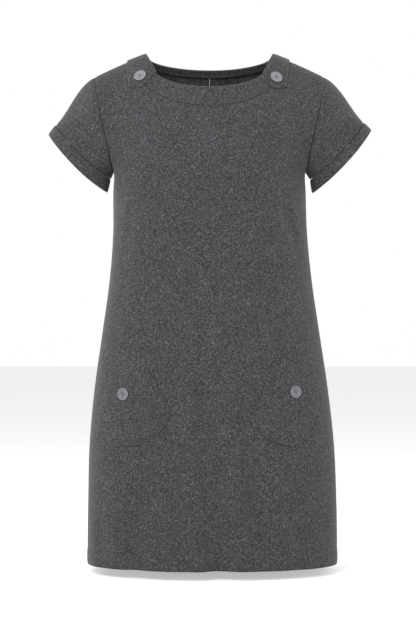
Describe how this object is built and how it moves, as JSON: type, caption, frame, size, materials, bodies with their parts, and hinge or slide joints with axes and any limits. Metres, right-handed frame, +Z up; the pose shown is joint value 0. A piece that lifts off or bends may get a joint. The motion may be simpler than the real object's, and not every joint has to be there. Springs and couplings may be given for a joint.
{
  "type": "jumper dress",
  "caption": "Short-sleeved jumper dress with a wide round neck, buttoned shoulder tabs, cuffs and slanted patch pockets, hollow as when worn.",
  "frame": {"origin": "midway between the two points where the shoulder seams meet the neck", "axes": "+Z up, the front of the dress faces -Y, +X to the right as seen from the front"},
  "size_m": [0.5822, 0.2532, 0.9145],
  "materials": {
    "cloth": "brushed melange jersey",
    "button_light": "satin",
    "button_grey": "satin"
  },
  "bodies": {
    "root": {"front": "cloth", "back_left": "cloth", "back_right": "cloth", "neck_band_front": "cloth", "neck_band_back": "cloth", "sleeve_left": "cloth", "sleeve_right": "cloth", "cuff_left": "cloth", "cuff_right": "cloth", "tab_left": "cloth", "tab_right": "cloth", "pocket_left": "cloth", "pocket_right": "cloth", "button_tab_left": "button_light", "button_tab_right": "button_light", "button_pocket_left": "button_grey", "button_pocket_right": "button_grey"}
  },
  "joints": []
}
